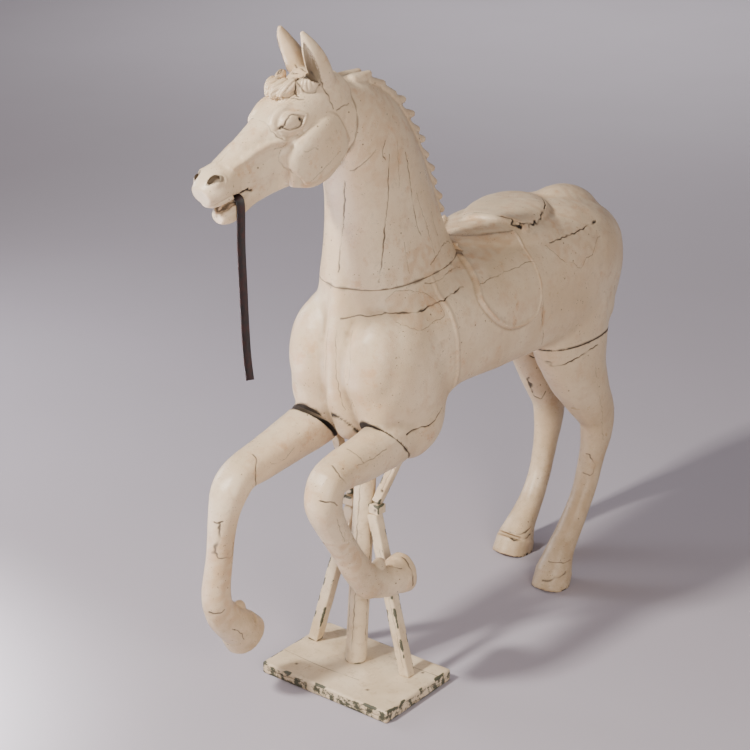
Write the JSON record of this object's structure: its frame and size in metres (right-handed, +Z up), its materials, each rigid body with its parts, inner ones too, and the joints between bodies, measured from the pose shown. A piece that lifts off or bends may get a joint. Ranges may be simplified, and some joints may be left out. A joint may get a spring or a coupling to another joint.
{
  "type": "carousel horse",
  "caption": "Carved and painted wooden carousel horse, forelegs raised, carved saddle, leather rein end, on a braced wooden stand.",
  "frame": {"origin": "on the floor, under the middle of the horse and its stand", "axes": "+Z up; the horse faces -Y, and its left side is +X"},
  "size_m": [0.3609, 1.3188, 1.4419],
  "materials": {
    "old_paint": "aged cream enamel paint over carved wood, cracked and worn",
    "painted_stand": "worn cream paint on sawn wood",
    "rein_leather": "dark worn strap leather"
  },
  "bodies": {
    "root": {"head": "old_paint", "neck": "old_paint", "body": "old_paint", "left_foreleg": "old_paint", "right_foreleg": "old_paint", "left_hind_leg": "old_paint", "right_hind_leg": "old_paint", "leather_strap": "rein_leather", "base_plate": "painted_stand", "post": "painted_stand", "lower_brace_left": "painted_stand", "lower_brace_right": "painted_stand", "brace_block_left": "painted_stand", "brace_block_right": "painted_stand", "upper_brace_left": "painted_stand", "upper_brace_right": "painted_stand"}
  },
  "joints": []
}
